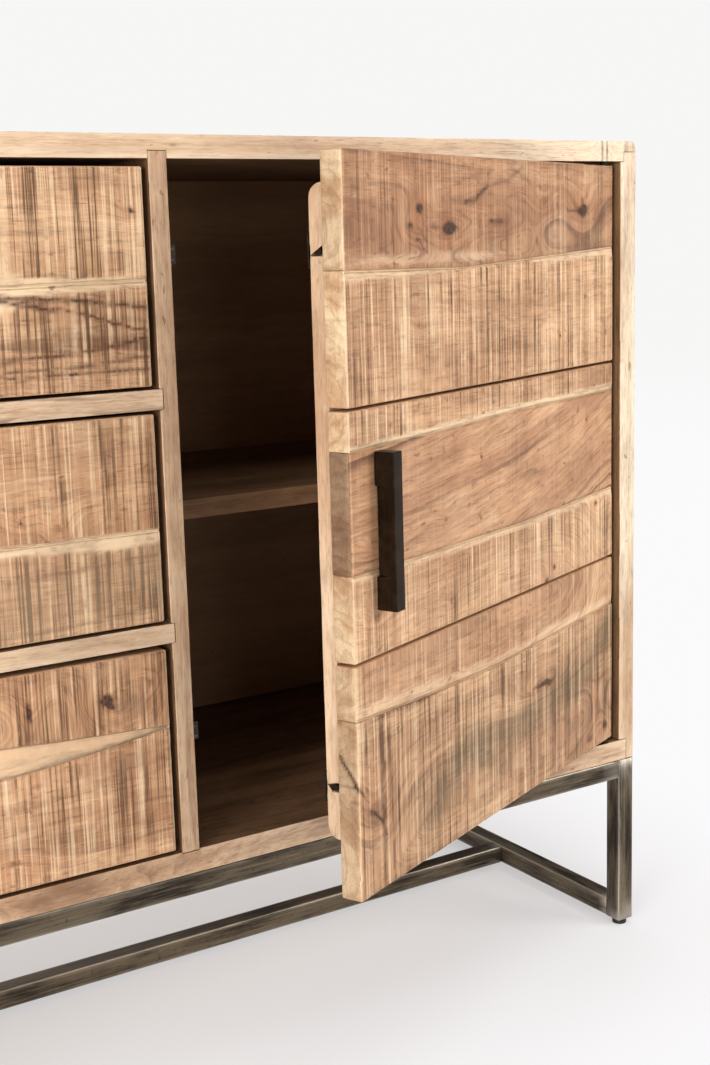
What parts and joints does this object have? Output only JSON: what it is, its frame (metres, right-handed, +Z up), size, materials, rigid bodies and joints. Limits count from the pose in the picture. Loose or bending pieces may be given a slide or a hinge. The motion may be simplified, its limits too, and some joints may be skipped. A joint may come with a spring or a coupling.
{
  "type": "sideboard buffet",
  "caption": "Sideboard buffet in rough-sawn wood with framed plank doors, inset plank drawers, shelves behind the doors and a welded square-tube steel base.",
  "frame": {"origin": "on the floor under the middle of the carcass, half way along its width and its depth", "axes": "+X to the right when facing the front, -Y out of the front, +Z up"},
  "size_m": [1.6, 0.6196, 0.822],
  "materials": {
    "front_wood": "rough-sawn solid wood, clear matt finish",
    "frame_wood": "planed solid wood, clear matt finish",
    "divider_wood": "planed solid wood, clear matt finish",
    "back_plywood": "veneered plywood, clear matt finish",
    "shelf_wood": "planed solid wood, clear matt finish",
    "batten_wood": "planed solid wood, clear matt finish",
    "drawer_wood": "planed solid wood, unfinished",
    "bright_steel": "zinc plated",
    "catch_plastic": "matt",
    "base_steel": "raw dark steel under clear lacquer",
    "dark_bronze": "dark patina",
    "foot_plastic": "matt"
  },
  "bodies": {
    "cabinet": {"top_board": "frame_wood", "bottom_board": "frame_wood", "left_side_panel": "frame_wood", "right_side_panel": "frame_wood", "left_divider": "divider_wood", "right_divider": "divider_wood", "upper_drawer_rail": "divider_wood", "lower_drawer_rail": "divider_wood", "back_panel": "back_plywood", "left_shelf": "shelf_wood", "right_shelf": "shelf_wood", "drawer_guides": "shelf_wood", "shelf_pins": "bright_steel", "catch_pole_plates": "bright_steel", "frame_hinge_leaves": "bright_steel", "carcass_screws": "bright_steel", "base_screws": "bright_steel", "catch_bodies": "catch_plastic", "base_long_rails": "base_steel", "base_cross_rails": "base_steel", "base_legs": "base_steel", "floor_stretcher": "base_steel", "base_fixing_tabs": "base_steel"},
    "front_left_leveller": {"front_left_foot": "foot_plastic"},
    "front_right_leveller": {"front_right_foot": "foot_plastic"},
    "rear_left_leveller": {"rear_left_foot": "foot_plastic"},
    "rear_right_leveller": {"rear_right_foot": "foot_plastic"},
    "left_door": {"left_door_lower_panel": "front_wood", "left_door_middle_panel": "front_wood", "left_door_upper_panel": "front_wood", "left_door_battens": "batten_wood", "left_door_handle": "dark_bronze", "left_door_hardware": "bright_steel", "left_door_screws": "bright_steel"},
    "right_door": {"right_door_lower_panel": "front_wood", "right_door_middle_panel": "front_wood", "right_door_upper_panel": "front_wood", "right_door_battens": "batten_wood", "right_door_handle": "dark_bronze", "right_door_hardware": "bright_steel", "right_door_screws": "bright_steel"},
    "lower_drawer": {"lower_drawer_front": "front_wood", "lower_drawer_sides": "drawer_wood", "lower_drawer_back": "drawer_wood", "lower_drawer_bottom": "drawer_wood", "lower_drawer_handle": "dark_bronze", "lower_drawer_screws": "bright_steel"},
    "middle_drawer": {"middle_drawer_front": "front_wood", "middle_drawer_sides": "drawer_wood", "middle_drawer_back": "drawer_wood", "middle_drawer_bottom": "drawer_wood", "middle_drawer_handle": "dark_bronze", "middle_drawer_screws": "bright_steel"},
    "upper_drawer": {"upper_drawer_front": "front_wood", "upper_drawer_sides": "drawer_wood", "upper_drawer_back": "drawer_wood", "upper_drawer_bottom": "drawer_wood", "upper_drawer_handle": "dark_bronze", "upper_drawer_screws": "bright_steel"}
  },
  "joints": [
    {"name": "front_left_foot_height", "type": "slide", "parent": "cabinet", "child": "front_left_leveller", "axis": [0, 0, -1], "range_m": [0, 0.01]},
    {"name": "front_right_foot_height", "type": "slide", "parent": "cabinet", "child": "front_right_leveller", "axis": [0, 0, -1], "range_m": [0, 0.01]},
    {"name": "rear_left_foot_height", "type": "slide", "parent": "cabinet", "child": "rear_left_leveller", "axis": [0, 0, -1], "range_m": [0, 0.01]},
    {"name": "rear_right_foot_height", "type": "slide", "parent": "cabinet", "child": "rear_right_leveller", "axis": [0, 0, -1], "range_m": [0, 0.01]},
    {"name": "left_door_hinge", "type": "hinge", "parent": "cabinet", "child": "left_door", "pos_m": [-0.762, -0.2075, 0.5], "axis": [0, 0, -1], "range_deg": [0, 110]},
    {"name": "right_door_hinge", "type": "hinge", "parent": "cabinet", "child": "right_door", "pos_m": [0.762, -0.2075, 0.5], "axis": [0, 0, 1], "range_deg": [-24, 86]},
    {"name": "lower_drawer_slide", "type": "slide", "parent": "cabinet", "child": "lower_drawer", "axis": [0, -1, 0], "range_m": [0, 0.27]},
    {"name": "middle_drawer_slide", "type": "slide", "parent": "cabinet", "child": "middle_drawer", "axis": [0, -1, 0], "range_m": [0, 0.27]},
    {"name": "upper_drawer_slide", "type": "slide", "parent": "cabinet", "child": "upper_drawer", "axis": [0, -1, 0], "range_m": [0, 0.27]}
  ]
}
